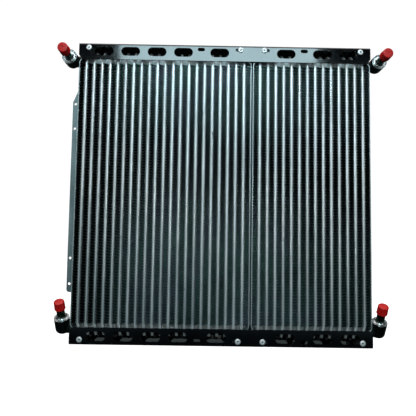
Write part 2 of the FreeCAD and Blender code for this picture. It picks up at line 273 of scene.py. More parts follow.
@dataclass(frozen=True)
class ShadedFinMetal:
    """Dark metal on folded fins, greener and bluer in patches. Its dark tone is painted shade for the shade
    deep in the fin channels, and more painted shade darkens the outer columns and a band half way up.

    The shade's stops are (place in metres, how much of the fin's own colour shows there) pairs.
    """

    name: str
    deep: Colour
    green: Colour
    blue: Colour
    rough_low: float
    rough_high: float
    painted_shade: Colour = (0.002, 0.003, 0.003)
    shade_heights: Stops = ((0.0, 1.0), (0.12, 0.95), (0.17, 0.65), (0.215, 0.3), (0.25, 0.06), (0.29, 0.08),
                           (0.33, 0.3), (0.37, 0.48), (0.42, 0.62), (0.45, 0.65))
    shade_widths: Stops = ((-0.22, 0.02), (-0.19, 0.1), (-0.15, 0.6), (-0.10, 1.0), (0.03, 1.0), (0.08, 0.85),
                          (0.13, 0.6), (0.18, 0.4), (0.22, 0.4))

    def make(self) -> bpy.types.Material:
        """Builds the material."""
        n = Nodes(self.name)
        wide = n.noise(Vector((12.0, 9.0, 7.0)), 4.0, 0.65)
        fine = n.noise(Vector((420.0, 300.0, 420.0)), 4.0, 0.6)
        drift = n.noise(Vector((22.0, 20.0, 12.0)), 2.0, 0.5)
        base = n.blend(wide, self.deep, self.green)
        tint = n.layer(n.spread(drift, 0.0, 0.8, 0.45, 0.7), base, self.blue)
        # Painted shade: the fins go darker in a band half way up the core and towards the outer columns, the
        # left ones most.
        lit_share = n.steps("Z", self.shade_heights, n.steps("X", self.shade_widths, None))
        painted_shade = n.spread(lit_share, 1.0, 0.0, 0.0, 1.0)
        n.link(n.layer(painted_shade, tint, self.painted_shade), n.shader.inputs["Base Color"])
        n.link(n.spread(fine, self.rough_low, self.rough_high), n.shader.inputs["Roughness"])
        n.link(n.relief(fine, 2e-5), n.shader.inputs["Normal"])
        n.set(Metallic=0.9)
        return n.material


@dataclass(frozen=True)
class GlossPaint:
    """Black gloss paint on sheet steel: orange peel, a clear top skin and settled dust."""

    name: str
    colour: Colour
    dust: Colour
    rough_low: float
    rough_high: float
    peel_depth: float = 6e-6
    coat: float = 0.3

    def make(self) -> bpy.types.Material:
        """Builds the material."""
        n = Nodes(self.name)
        peel = n.noise(Vector((260.0, 260.0, 260.0)), 2.0, 0.5)
        dust = n.noise(Vector((1400.0, 1400.0, 1400.0)), 4.0, 0.7)
        patch = n.noise(Vector((25.0, 25.0, 25.0)), 3.0, 0.6)
        base = n.blend(patch, self.colour, tuple(1.6 * c for c in self.colour))
        mask = n.spread(dust, 0.0, 0.12, 0.66, 0.82)
        n.link(n.layer(mask, base, self.dust), n.shader.inputs["Base Color"])
        n.link(n.spread(patch, self.rough_low, self.rough_high), n.shader.inputs["Roughness"])
        n.link(n.relief(peel, self.peel_depth), n.shader.inputs["Normal"])
        n.set(IOR=1.4, Coat_Weight=self.coat, Coat_Roughness=0.05)
        return n.material


@dataclass(frozen=True)
class SoftPlastic:
    """Moulded soft plastic with a slightly cloudy body, handling scuffs and mould texture."""

    name: str
    colour: Colour
    scuffed: Colour
    rough_low: float
    rough_high: float

    def make(self) -> bpy.types.Material:
        """Builds the material."""
        n = Nodes(self.name)
        cloud = n.noise(Vector((120.0, 120.0, 120.0)), 3.0, 0.6)
        skin = n.noise(Vector((2600.0, 2600.0, 2600.0)), 3.0, 0.6)
        scuff = n.noise(Vector((500.0, 180.0, 700.0)), 5.0, 0.75)
        base = n.blend(cloud, self.colour, tuple(0.86 * c for c in self.colour))
        mask = n.spread(scuff, 0.0, 0.55, 0.57, 0.7)
        n.link(n.layer(mask, base, self.scuffed), n.shader.inputs["Base Color"])
        n.link(n.spread(scuff, self.rough_low, self.rough_high), n.shader.inputs["Roughness"])
        n.link(n.relief(skin, 6e-6), n.shader.inputs["Normal"])
        n.set(Subsurface_Weight=0.12, Subsurface_Scale=0.002)
        return n.material


@dataclass(frozen=True)
class LitFloor:
    """White acrylic floor lit from below, with a faint cloudy texture."""

    name: str
    glow: float = 0.93

    def make(self) -> bpy.types.Material:
        """Builds the material."""
        n = Nodes(self.name)
        cloud = n.noise(Vector((40.0, 40.0, 40.0)), 3.0)
        tone = n.blend(cloud, (0.90, 0.905, 0.91), (0.93, 0.93, 0.93))
        n.link(tone, n.shader.inputs["Base Color"])
        n.set(Roughness=0.9, Emission_Strength=self.glow)
        n.shader.inputs["Emission Color"].default_value = (1.0, 1.0, 1.0, 1.0)
        return n.material


class Palette:
    """Every finish of the cooler, built once."""

    def __init__(self) -> None:
        """Builds the materials."""
        self.tube = BareMetal("tube_mill_finish", (0.68, 0.71, 0.72), (0.88, 0.90, 0.91), 0.26, 0.42).make()
        self.side = BareMetal("side_plate_mill_finish", (0.40, 0.46, 0.47), (0.60, 0.66, 0.67),
                              0.34, 0.52).make()
        self.rail = BareMetal("rail_mill_finish", (0.16, 0.21, 0.22), (0.28, 0.34, 0.35), 0.38, 0.55,
                              line_scale=(60.0, 900.0, 900.0)).make()
        self.port = BareMetal("port_turned_finish", (0.70, 0.73, 0.74), (0.86, 0.88, 0.89), 0.16, 0.30,
                              line_scale=(1500.0, 1500.0, 1500.0), flux_amount=0.15).make()
        # Painted shade: the stub pipes and the elbows' sides are darkened aluminium; the ring face and stub
        # foot keep the turned metal.
        self.stub = BareMetal("stub_painted_shade", (0.05, 0.085, 0.065), (0.16, 0.21, 0.18), 0.18, 0.32,
                              flux_amount=0.15).make()
        self.elbow = BareMetal("elbow_painted_shade", (0.045, 0.055, 0.055), (0.13, 0.15, 0.15), 0.24, 0.42,
                               line_scale=(700.0, 700.0, 700.0), flux=(0.35, 0.38, 0.38),
                               flux_amount=0.2).make()
        # Bright braze on the fin folds, also used as a painted highlight on the side plates' rolled ends.
        self.braze_and_highlight = BareMetal("braze_and_painted_highlight", (0.42, 0.46, 0.47), (0.70, 0.74, 0.75), 0.3, 0.5,
                               line_scale=(900.0, 900.0, 900.0)).make()
        self.weld = BareMetal("braze_bead", (0.55, 0.57, 0.58), (0.80, 0.82, 0.83), 0.25, 0.55,
                              blotch_scale=(400.0, 400.0, 400.0)).make()
        self.rivet = BareMetal("rivet_bright", (0.84, 0.87, 0.88), (0.93, 0.95, 0.95), 0.40, 0.55,
                               flux_amount=0.1, metallic=0.75).make()
        self.mandrel = BareMetal("mandrel_steel", (0.05, 0.05, 0.055), (0.14, 0.14, 0.15), 0.3, 0.5).make()
        # Fin metal: its dark tone is painted shade for the deep fin channels, with more painted shade half
        # way up and on the outer columns.
        self.fin = ShadedFinMetal("fin_metal_painted_shade", (0.09, 0.17, 0.19), (0.20, 0.62, 0.54),
                               (0.20, 0.22, 0.40), 0.30, 0.44).make()
        self.fin_edge = ShadedFinMetal("fin_cut_edge", (0.10, 0.17, 0.18), (0.30, 0.52, 0.46),
                                    (0.40, 0.44, 0.60), 0.34, 0.5).make()
        self.bracket = GlossPaint("bracket_gloss_black", (0.0012, 0.0015, 0.002), (0.03, 0.035, 0.04),
                                  0.07, 0.13).make()
        # Painted highlight: near-white metal that stands for light falling on the tube ends at both brackets.
        self.whitened = BareMetal("flux_whitened_metal", (0.80, 0.84, 0.84), (0.95, 0.97, 0.97), 0.45, 0.65,
                                  metallic=0.1).make()
        # Painted shade: near-black stand-in for the shade inside the brackets, on the tubes' low ends and the
        # saddle blocks.
        self.recess_shade = GlossPaint("recess_painted_shade", (0.001, 0.0012, 0.0015), (0.02, 0.022, 0.025),
                                    0.3, 0.45, coat=0.0).make()
        self.cap = SoftPlastic("cap_red_plastic", (0.80, 0.010, 0.008), (0.92, 0.16, 0.11), 0.25, 0.45).make()
        self.stage = LitFloor("lit_floor").make()


# ---------------------------------------------------------------- mesh helpers

def finish_piece(name: str, bm: bmesh.types.BMesh, materials: list[bpy.types.Material],
                 smooth_angle: float = 32.0, flat_first: bool = False) -> bpy.types.Object:
    """Turns a bmesh into a piece at the origin, shaded smooth up to an angle.

    Args:
        name: the piece's name.
        bm: the mesh, which is freed.
        materials: the piece's materials, in the order of its faces' indices.
        smooth_angle: edges sharper than this stay sharp, in degrees.
        flat_first: keeps large flat faces flat beside their rounded edges.

    Returns:
        The new object, linked to the scene.
    """
    mesh = bpy.data.meshes.new(name)
    bm.to_mesh(mesh)
    bm.free()
    for material in materials:
        mesh.materials.append(material)
    mesh.polygons.foreach_set("use_smooth", [True] * len(mesh.polygons))
    mesh.set_sharp_from_angle(angle=math.radians(smooth_angle))
    piece = bpy.data.objects.new(name, mesh)
    bpy.context.scene.collection.objects.link(piece)
    if flat_first:
        weighting = piece.modifiers.new("flat_first", "WEIGHTED_NORMAL")
        weighting.keep_sharp = True
        weighting.weight = 80
    return piece


def register(piece: bpy.types.Object, body: str, nodes: Iterable[str] = ()) -> None:
    """Puts a piece on its body and the CAD nodes that it stands for.

    Args:
        piece: the finished piece.
        body: the CAD body that it moves with.
        nodes: CAD nodes that it replaces.
    """
    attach(piece, body)
    if nodes:
        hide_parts(*nodes)
    LOG.info("%s on %s: %d faces", piece.name, body, len(piece.data.polygons))


def sharp_edges(bm: bmesh.types.BMesh, angle: float) -> list[bmesh.types.BMEdge]:
    """Edges whose two faces meet at more than an angle in degrees."""
    limit = math.radians(angle)
    return [e for e in bm.edges if len(e.link_faces) == 2 and e.calc_face_angle(0.0) > limit]


def bevel(bm: bmesh.types.BMesh, edges: list[bmesh.types.BMEdge], width: float, segments: int = 2) -> None:
    """Rounds edges.

    Args:
        bm: the mesh.
        edges: the edges to round.
        width: the bevel's width in metres.
        segments: how many faces it has across.
    """
    bmesh.ops.bevel(bm, geom=edges, offset=width, offset_type="OFFSET", segments=segments,
                    profile=0.5, affect="EDGES", clamp_overlap=True, material=-1)


def copy_of_node(node: str) -> bmesh.types.BMesh:
    """A merged copy of a CAD node's mesh with its flat faces joined up."""
    bm = bmesh.new()
    bm.from_mesh(NODES[node].data)
    bmesh.ops.remove_doubles(bm, verts=bm.verts, dist=MERGE)
    bmesh.ops.dissolve_limit(bm, angle_limit=math.radians(0.4), use_dissolve_boundaries=False,
                             verts=bm.verts, edges=bm.edges, delimit=set())
    return bm


def turn_profile(bm: bmesh.types.BMesh, profile: list[tuple[float, float]], steps: int,
                 material: int = 0) -> list[bmesh.types.BMVert]:
    """Spins a closed or pole-to-pole profile about +Z.

    Args:
        bm: mesh that gets the turned shape.
        profile: (radius, height) points in metres.
        steps: faces round the axis.
        material: material index of the new faces.

    Returns:
        The new vertices.
    """
    before = set(bm.verts)
    verts = [bm.verts.new((radius, 0.0, height)) for radius, height in profile]
    edges = [bm.edges.new(pair) for pair in zip(verts, verts[1:])]
    bmesh.ops.spin(bm, geom=verts + edges, cent=(0, 0, 0), axis=(0, 0, 1), dvec=(0, 0, 0),
                   angle=math.tau, steps=steps, use_merge=True, use_duplicate=False)
    new = [v for v in bm.verts if v not in before]
    bmesh.ops.remove_doubles(bm, verts=new, dist=POLE_MERGE)
    new = [v for v in bm.verts if v.is_valid and v not in before]
    faces = {f for v in new for f in v.link_faces}
    for face in faces:
        face.material_index = material
    bmesh.ops.recalc_face_normals(bm, faces=list(faces))
    return new


def arc_points(centre: tuple[float, float], radius: float, start: float, end: float,
               steps: int) -> list[tuple[float, float]]:
    """Points along an arc in a profile's plane.

    Args:
        centre: the arc's centre.
        radius: its radius.
        start: first angle in degrees.
        end: last angle in degrees.
        steps: how many stretches.

    Returns:
        The points, both ends included.
    """
    points = []
    for i in range(steps + 1):
        angle = math.radians(start + (end - start) * i / steps)
        points.append((centre[0] + radius * math.cos(angle), centre[1] + radius * math.sin(angle)))
    return points


# ---------------------------------------------------------------- cores

@dataclass
class TubeBank:
    """The upright drawn-cup tubes: flat bars with rounded rims, round ends and cups."""

    palette: Palette
    gallery_height: float = 19.0 * MM
    end_radius: float = 14.5 * MM
    shoulder_height: float = 30.0 * MM
    cup_radius: float = 9.0 * MM
    foot_radius: float = 1.6 * MM
    rim_rounding: float = 1.45 * MM
    shaded_height: float = 20.0 * MM
    highlight_height: float = 27.0 * MM
    seam_depth: float = 0.22 * MM
    seam_half: float = 0.16 * MM
    thickness: float = 4.0 * MM
    arc_steps: int = 10

    def outline(self, half_depth: float, height: float) -> list[tuple[float, float]]:
        """Outline (y, z) of a tube, closed, with tapered shoulders and round ends.

        Args:
            half_depth: half the core's depth.
            height: outer face to outer face of the brackets.

        Returns:
            The points in order round the tube.
        """
        rise = self.shoulder_height - self.gallery_height
        distance = math.hypot(half_depth, rise)
        low = math.degrees(math.atan2(rise, half_depth) - math.acos(self.end_radius / distance))
        centre = (0.0, self.gallery_height)
        bottom = arc_points(centre, self.end_radius, -180.0 - low, low, self.arc_steps)
        bottom = [(-half_depth, self.shoulder_height)] + bottom + [(half_depth, self.shoulder_height)]
        top = [(-y, height - z) for y, z in bottom]
        return bottom + top

    def shell(self, half_depth: float, height: float) -> bmesh.types.BMesh:
        """One tube centred on x = 0.

        Args:
            half_depth: half the core's depth.
            height: outer face to outer face of the brackets.

        Returns:
            The mesh of the tube with its four cups.
        """
        bm = bmesh.new()
        half = self.thickness / 2
        verts = [bm.verts.new((-half, y, z)) for y, z in self.outline(half_depth, height)]
        face = bm.faces.new(verts)
        result = bmesh.ops.extrude_face_region(bm, geom=[face])
        moved = [g for g in result["geom"] if isinstance(g, bmesh.types.BMVert)]
        bmesh.ops.translate(bm, vec=(self.thickness, 0, 0), verts=moved)
        bmesh.ops.recalc_face_normals(bm, faces=bm.faces)
        bevel(bm, sharp_edges(bm, 60.0), self.rim_rounding, 3)
        for x in (-self.seam_half, 0.0, self.seam_half):
            geometry = list(bm.verts) + list(bm.edges) + list(bm.faces)
            bmesh.ops.bisect_plane(bm, geom=geometry, plane_co=(x, 0, 0), plane_no=(1, 0, 0))
        middle = (0.0, height / 2)
        for vert in bm.verts:
            if abs(vert.co.x) < POLE_MERGE:
                vert.co -= self.outward(vert.co, height, middle) * self.seam_depth
        self.add_cups(bm, height)
        for face in bm.faces:
            z = face.calc_center_median().z
            # Faces just above the bottom bracket and near the top take the white painted highlight.
            whitened = self.shaded_height < z < self.shoulder_height or z > height - self.highlight_height
            # Faces low down inside the bottom bracket take the black painted shade.
            face.material_index = 2 if z < self.shaded_height else int(whitened)
        return bm

    def outward(self, place: Vector, height: float, middle: tuple[float, float]) -> Vector:
        """Direction out of the rim at a place on it.

        Args:
            place: a point of the rim.
            height: outer face to outer face of the brackets.
            middle: (y, z) of the tube's middle.

        Returns:
            A unit vector in the YZ plane.
        """
        if self.shoulder_height < place.z < height - self.shoulder_height:
            return Vector((0.0, math.copysign(1.0, place.y), 0.0))
        gallery = self.gallery_height if place.z < middle[1] else height - self.gallery_height
        away = Vector((0.0, place.y, place.z - gallery))
        return away.normalized()

    def add_cups(self, bm: bmesh.types.BMesh, height: float) -> None:
        """Adds the cups on both sides at both galleries, with rounded feet.

        Args:
            bm: the tube's mesh.
            height: outer face to outer face of the brackets.
        """
        half = self.thickness / 2
        reach = 3 * half
        lip = 0.25 * MM
        foot_centre = (self.cup_radius + self.foot_radius, half + self.foot_radius)
        profile = [(0.0, half * 0.5), (self.cup_radius + self.foot_radius, half * 0.5)]
        profile += arc_points(foot_centre, self.foot_radius, -90.0, -180.0, 4)
        profile += [(self.cup_radius, reach - lip), (self.cup_radius - lip, reach), (0.0, reach)]
        for z in (self.gallery_height, height - self.gallery_height):
            for side in (LEFT, RIGHT):
                verts = turn_profile(bm, profile, 32)
                turn = Matrix.Rotation(side * math.pi / 2, 4, "Y")
                bmesh.ops.transform(bm, matrix=Matrix.Translation((0, 0, z)) @ turn, verts=verts)

    def build(self) -> None:
        """Makes one piece for every tube node."""
        tubes = sorted(n for n in NODES if n.startswith("tube_"))
        low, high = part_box(tubes[0])
        height = low.z + high.z
        shell = self.shell(high.y, height)
        for name in tubes:
            low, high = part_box(name)
            bm = shell.copy()
            bmesh.ops.translate(bm, vec=((low.x + high.x) / 2, 0, 0), verts=bm.verts)
            finishes = [self.palette.tube, self.palette.whitened, self.palette.recess_shade]
            piece = finish_piece(f"{name}_shell", bm, finishes, 30.0)
            register(piece, BODY, [name])
        shell.free()


@dataclass
class FinBank:
    """Folded wavy fins: round-crested waves up the core whose channels bend half way through."""

    palette: Palette
    pitch: float = 12.0 * MM
    gap: float = 8.0 * MM
    wave: float = 4.24 * MM
    sheet: float = 0.24 * MM
    crest: float = 0.36 * MM
    crest_flat: float = 0.14 * MM
    fillet_reach: float = 1.25 * MM
    fillet_half: float = 0.95 * MM
    bend: float = 3.0 * MM
    bend_fade: float = 12.0 * MM
    inset: float = 0.35 * MM
    cut_edge_facing: float = 0.7

    def ribbon(self, low: Vector, high: Vector) -> bmesh.types.BMesh:
        """One fin column, centred on x = 0.

        Args:
            low: lowest corner of the fin node.
            high: highest corner of the fin node.

        Returns:
            The mesh of a closed thin sheet.
        """
        height = high.z - low.z
        waves = round(height / self.wave)
        wave = height / waves
        reach = self.gap / 2 - self.sheet / 2
        near = -reach + self.crest
        half = wave / 2
        profile = [(-reach, 0.0), (-reach, self.crest_flat), (near, self.crest),
                   (-near, half - self.crest), (reach, half - self.crest_flat),
                   (reach, half + self.crest_flat), (-near, half + self.crest),
                   (near, wave - self.crest), (-reach, wave - self.crest_flat), (-reach, wave)]
        bm = bmesh.new()
        front = low.y + self.inset
        verts = [bm.verts.new((x, front, low.z + z)) for x, z in profile]
        edges = [bm.edges.new(pair) for pair in zip(verts, verts[1:])]
        depth = (high.y - low.y - 2 * self.inset) / 2
        for _ in range(2):
            result = bmesh.ops.extrude_edge_only(bm, edges=edges)
            moved = [g for g in result["geom"] if isinstance(g, bmesh.types.BMVert)]
            edges = [g for g in result["geom"] if isinstance(g, bmesh.types.BMEdge)]
            bmesh.ops.translate(bm, vec=(0, depth, 0), verts=moved)
        geometry = list(bm.verts) + list(bm.edges) + list(bm.faces)
        bmesh.ops.spin(bm, geom=geometry, cent=(0, 0, 0), axis=(0, 0, 1), dvec=(0, 0, wave),
                       angle=0.0, steps=waves - 1, use_duplicate=True)
        bmesh.ops.remove_doubles(bm, verts=bm.verts, dist=MERGE)
        bmesh.ops.recalc_face_normals(bm, faces=bm.faces)
        bmesh.ops.solidify(bm, geom=list(bm.faces), thickness=self.sheet)
        bmesh.ops.recalc_face_normals(bm, faces=bm.faces)
        for face in bm.faces:
            face.material_index = 2 * int(abs(face.normal.y) > self.cut_edge_facing)
        self.add_fillets(bm, low, high, wave, waves)
        self.bend_channels(bm, low, high)
        return bm

    def add_fillets(self, bm: bmesh.types.BMesh, low: Vector, high: Vector, wave: float, waves: int) -> None:
        """Adds the braze that fills every fold where it meets a tube.

        Args:
            bm: the folded sheet.
            low: lowest corner of the fin node.
            high: highest corner of the fin node.
            wave: length of one wave.
            waves: how many waves there are.
        """
        wall = self.gap / 2
        front = low.y + 0.5 * self.inset
        depth = (high.y - low.y - self.inset) / 2
        for side, start in ((LEFT, wave), (RIGHT, wave / 2)):
            corners = ((side * wall, start - self.fillet_half), (side * (wall - self.fillet_reach), start),
                       (side * wall, start + self.fillet_half))
            verts = [bm.verts.new((x, front, low.z + z)) for x, z in corners]
            faces = [bm.faces.new(verts)]
            geometry = set(verts) | set(faces)
            for keep_front in (True, False):
                result = bmesh.ops.extrude_face_region(bm, geom=faces, use_keep_orig=keep_front)
                moved = [g for g in result["geom"] if isinstance(g, bmesh.types.BMVert)]
                faces = [g for g in result["geom"] if isinstance(g, bmesh.types.BMFace)]
                bmesh.ops.translate(bm, vec=(0, depth, 0), verts=moved)
                geometry |= {f for v in moved for f in v.link_faces} | set(moved)
            block = [g for g in geometry if g.is_valid and isinstance(g, bmesh.types.BMFace)]
            bmesh.ops.recalc_face_normals(bm, faces=block)
            for face in block:
                face.material_index = 1
            edges = {e for f in block for e in f.edges}
            corners_used = {v for f in block for v in f.verts}
            bmesh.ops.spin(bm, geom=block + list(edges) + list(corners_used), cent=(0, 0, 0), axis=(0, 0, 1),
                           dvec=(0, 0, wave), angle=0.0, steps=waves - 2, use_duplicate=True)

    def bend_channels(self, bm: bmesh.types.BMesh, low: Vector, high: Vector) -> None:
        """Lifts the middle of every channel, less and less towards the column's two ends.

        Args:
            bm: the ribbon.
            low: lowest corner of the fin node.
            high: highest corner of the fin node.
        """
        half_depth = (high.y - low.y) / 2
        for vert in bm.verts:
            to_end = min(vert.co.z - low.z, high.z - vert.co.z)
            fade = min(1.0, max(0.0, to_end / self.bend_fade))
            vert.co.z += self.bend * fade * (0.5 - abs(vert.co.y) / half_depth)

    def build(self) -> None:
        """Makes one piece for each column of fins."""
        for node in ("fins_left", "fins_right"):
            low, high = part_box(node)
            ribbon = self.ribbon(low, high)
            columns = round((high.x - low.x - self.gap) / self.pitch) + 1
            for column in range(columns):
                bm = ribbon.copy()
                middle = low.x + self.gap / 2 + column * self.pitch
                bmesh.ops.translate(bm, vec=(middle, 0, 0), verts=bm.verts)
                finishes = [self.palette.fin, self.palette.braze_and_highlight, self.palette.fin_edge]
                piece = finish_piece(f"{node}_{column + 1:02d}", bm, finishes, 40.0)
                register(piece, BODY, [node])
            ribbon.free()


# ---------------------------------------------------------------- frame of the cooler

@dataclass
class SheetParts:
    """Folded sheet parts whose cut edges are broken: brackets, side plates and the rail."""

    palette: Palette
    edge_break: float = 0.3 * MM
    rolled_end: float = 7.0 * MM

    def soften(self, node: str, material: bpy.types.Material) -> None:
        """Replaces a node by a copy with rounded edges.

        Args:
            node: the CAD node.
            material: its finish.
        """
        bm = copy_of_node(node)
        bevel(bm, sharp_edges(bm, 40.0), self.edge_break)
        low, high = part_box(node)
        # Painted highlight: the side plates' rolled ends take the bright braze metal.
        if node.startswith("side_plate"):
            for face in bm.faces:
                z = face.calc_center_median().z
                face.material_index = int(min(z - low.z, high.z - z) < self.rolled_end)
        piece = finish_piece(f"{node}_sheet", bm, [material, self.palette.braze_and_highlight], 30.0, True)
        register(piece, BODY, [node])

    def build(self) -> None:
        """Softens every sheet part."""
        for node in ("bracket_bottom", "bracket_top"):
            self.soften(node, self.palette.bracket)
        for node in sorted(n for n in NODES if n.startswith("side_plate")):
            self.soften(node, self.palette.side)
        self.soften("side_rail", self.palette.rail)


@dataclass
class RivetSet:
    """Blind rivets: a domed flange round a broken mandrel, shank behind it."""

    palette: Palette
    outer_x: float = 206.0 * MM
    inner_gap: float = 18.0 * MM
    core_middle: float = 42.0 * MM
    line: float = 7.5 * MM
    head_radius: float = 4.25 * MM
    head_height: float = 1.2 * MM
    hole_radius: float = 1.3 * MM
    shank_radius: float = 2.4 * MM
    shank_length: float = 9.5 * MM

    def rivet(self) -> bmesh.types.BMesh:
        """One rivet along +Z, with its flange's underside at z = 0."""
        bm = bmesh.new()
        radius, height, hole = self.head_radius, self.head_height, self.hole_radius
        dome = [(0.0, -self.shank_length), (self.shank_radius * 0.8, -self.shank_length),
                (self.shank_radius, -self.shank_length * 0.94), (self.shank_radius, 0.0),
                (radius - 0.15 * MM, 0.0), (radius, 0.12 * MM), (radius - 0.1 * MM, height * 0.38)]
        dome += [(radius - 0.55 * MM, height * 0.74), (radius - 1.1 * MM, height * 0.9),
                 (hole + 0.5 * MM, height), (hole + 0.15 * MM, height * 0.95),
                 (hole, height * 0.8), (hole, height * 0.1)]
        turn_profile(bm, dome + [(0.0, height * 0.1)], 40)
        stem = [(0.0, 0.0), (hole * 0.82, 0.0), (hole * 0.82, height * 0.42),
                (hole * 0.6, height * 0.52), (0.0, height * 0.46)]
        turn_profile(bm, stem, 24, 1)
        return bm

    def places(self) -> list[float]:
        """X of the four rivets along one flange."""
        return [-self.outer_x, self.core_middle - self.inner_gap,
                self.core_middle + self.inner_gap, self.outer_x]

    def build(self) -> None:
        """Makes one piece with all sixteen rivets."""
        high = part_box("bracket_top")[1]
        flange = high.y
        height = high.z
        bm = bmesh.new()
        for x in self.places():
            for z in (self.line, height - self.line):
                for side in (LEFT, RIGHT):
                    rivet = self.rivet()
                    turn = Matrix.Rotation(-side * math.pi / 2, 4, "X")
                    place = Matrix.Translation((x, side * flange, z)) @ turn
                    bmesh.ops.transform(rivet, matrix=place, verts=rivet.verts)
                    scratch = bpy.data.meshes.new("rivet")
                    rivet.to_mesh(scratch)
                    rivet.free()
                    bm.from_mesh(scratch)
                    bpy.data.meshes.remove(scratch)
        piece = finish_piece("bracket_rivets_set", bm, [self.palette.rivet, self.palette.mandrel], 35.0)
        register(piece, BODY, ["bracket_rivets"])


# ---------------------------------------------------------------- ports

class End(Enum):
    """Which end of the cooler a port is at."""

    TOP = "top"
    BOTTOM = "bottom"


@dataclass
class Port:
    """One corner's port: elbow, pipe stub and pull-off cap, on one axis."""

    palette: Palette
    end: End
    side: int
    bottom_angle: float = 60.0
    gallery_height: float = 19.0 * MM
    boss_top: float = 19.5 * MM
    seat_depth: float = 5.0 * MM
    seat_radius: float = 9.0 * MM
    seat_clearance: float = 0.05 * MM
    seat_chamfer: float = 0.25 * MM
    bore_chamfer: float = 0.3 * MM
    stub_radius: float = 6.0 * MM
    stub_bore: float = 4.2 * MM
    top_stub_length: float = 30.5 * MM
    bottom_stub_length: float = 27.0 * MM
    flare: float = 2.4 * MM
    cap_length: float = 13.4 * MM
    top_rise: float = 1.0 * MM
    cap_radius: float = 8.0 * MM
    cap_wall: float = 2.0 * MM
    cap_gap: float = 0.5 * MM
    leg_radius: float = 8.3 * MM
    name: str = field(init=False)

    def __post_init__(self) -> None:
        """Works out the port's name."""
        side = "left" if self.side == LEFT else "right"
        self.name = f"{self.end.value}_{side}"

    def stub_end(self) -> float:
        """Distance of the stub's end from the gallery's centre line, along the port's axis."""
        return self.boss_top + (self.top_stub_length if self.end is End.TOP else self.bottom_stub_length)

    def axis(self) -> Matrix:
        """Placement of the port: its origin on the gallery's centre line, +Z out of the boss."""
        stub_low, stub_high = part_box(f"port_stub_{self.name}")
        x = (stub_low.x + stub_high.x) / 2
        tube_low, tube_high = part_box("tube_left_01")
        height = tube_low.z + tube_high.z
        z = height - self.gallery_height + self.top_rise if self.end is End.TOP else self.gallery_height
        lift = 0.0 if self.end is End.TOP else math.radians(self.bottom_angle)
        turn = Matrix.Rotation(math.pi / 2 - lift, 4, "X")
        return Matrix.Translation((x, 0.0, z)) @ turn

    def build_elbow(self) -> None:
        """Elbow with its convex edges broken."""
        node = f"port_elbow_{self.name}"
        bm = copy_of_node(node)
        bevel(bm, [e for e in sharp_edges(bm, 35.0) if e.is_convex], 0.35 * MM, 3)
        # The elbow's sides take the near-black painted shade; only the boss's ring face keeps the bright
        # turned metal.
        along = self.axis().inverted()
        for face in bm.faces:
            face.material_index = int((along @ face.calc_center_median()).z > self.boss_top - 0.6 * MM)
        piece = finish_piece(f"{node}_body", bm, [self.palette.elbow, self.palette.port], 32.0, True)
        register(piece, BODY, [node])

    def build_bead(self) -> None:
        """Braze bead round the foot of the leg, against the last cup."""
        low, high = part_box(f"port_elbow_{self.name}")
        foot_x = high.x if self.side == LEFT else low.x
        bead = 0.9 * MM
        bm = bmesh.new()
        ring = arc_points((self.leg_radius, 0.0), bead, 0.0, 360.0, 10)[:-1]
        verts = [bm.verts.new((radius, 0.0, along)) for radius, along in ring]
        edges = [bm.edges.new((verts[i - 1], verts[i])) for i in range(len(verts))]
        bmesh.ops.spin(bm, geom=verts + edges, cent=(0, 0, 0), axis=(0, 0, 1), dvec=(0, 0, 0),
                       angle=math.tau, steps=72, use_merge=True)
        bmesh.ops.remove_doubles(bm, verts=bm.verts, dist=POLE_MERGE)
        bmesh.ops.recalc_face_normals(bm, faces=bm.faces)
        for vert in bm.verts:
            around = math.atan2(vert.co.y, vert.co.x)
            swell = 1.0 + 0.035 * math.sin(around * 17.0) + 0.02 * math.sin(around * 5.0 + 1.0)
            vert.co.x *= swell
            vert.co.y *= swell
        turn = Matrix.Rotation(math.pi / 2, 4, "Y")
        leg_z = self.axis().translation.z - (self.top_rise if self.end is End.TOP else 0.0)
        place = Matrix.Translation((foot_x + self.side * bead * 0.5, 0, leg_z)) @ turn
        bmesh.ops.transform(bm, matrix=place, verts=bm.verts)
        piece = finish_piece(f"port_bead_{self.name}", bm, [self.palette.weld], 60.0)
        register(piece, BODY)

    def build_stub(self) -> None:
        """Turned pipe stub with a filleted foot."""
        top, end = self.boss_top, self.stub_end()
        seat = top - self.seat_depth
        seat_radius = self.seat_radius - self.seat_clearance
        foot = arc_points((self.stub_radius + self.flare, top + self.flare), self.flare, 270.0, 180.0, 8)
        lip = 0.8 * MM
        profile = [(self.stub_bore, seat), (seat_radius, seat),
                   (seat_radius, top - self.seat_chamfer), (seat_radius - 0.17 * MM, top)]
        profile += foot
        profile += [(self.stub_radius, end - lip), (self.stub_radius - lip, end),
                    (self.stub_bore + self.bore_chamfer, end), (self.stub_bore, end - self.bore_chamfer),
                    (self.stub_bore, seat)]
        bm = bmesh.new()
        turn_profile(bm, profile, 64)
        # The stub's pipe past its foot takes the dark painted shade; the foot keeps the bright turned metal.
        for face in bm.faces:
            face.material_index = int(face.calc_center_median().z > top + 0.8 * self.flare)
        bmesh.ops.transform(bm, matrix=self.axis(), verts=bm.verts)
        finishes = [self.palette.port, self.palette.stub]
        piece = finish_piece(f"port_stub_{self.name}_turned", bm, finishes, 35.0)
        register(piece, BODY, [f"port_stub_{self.name}"])

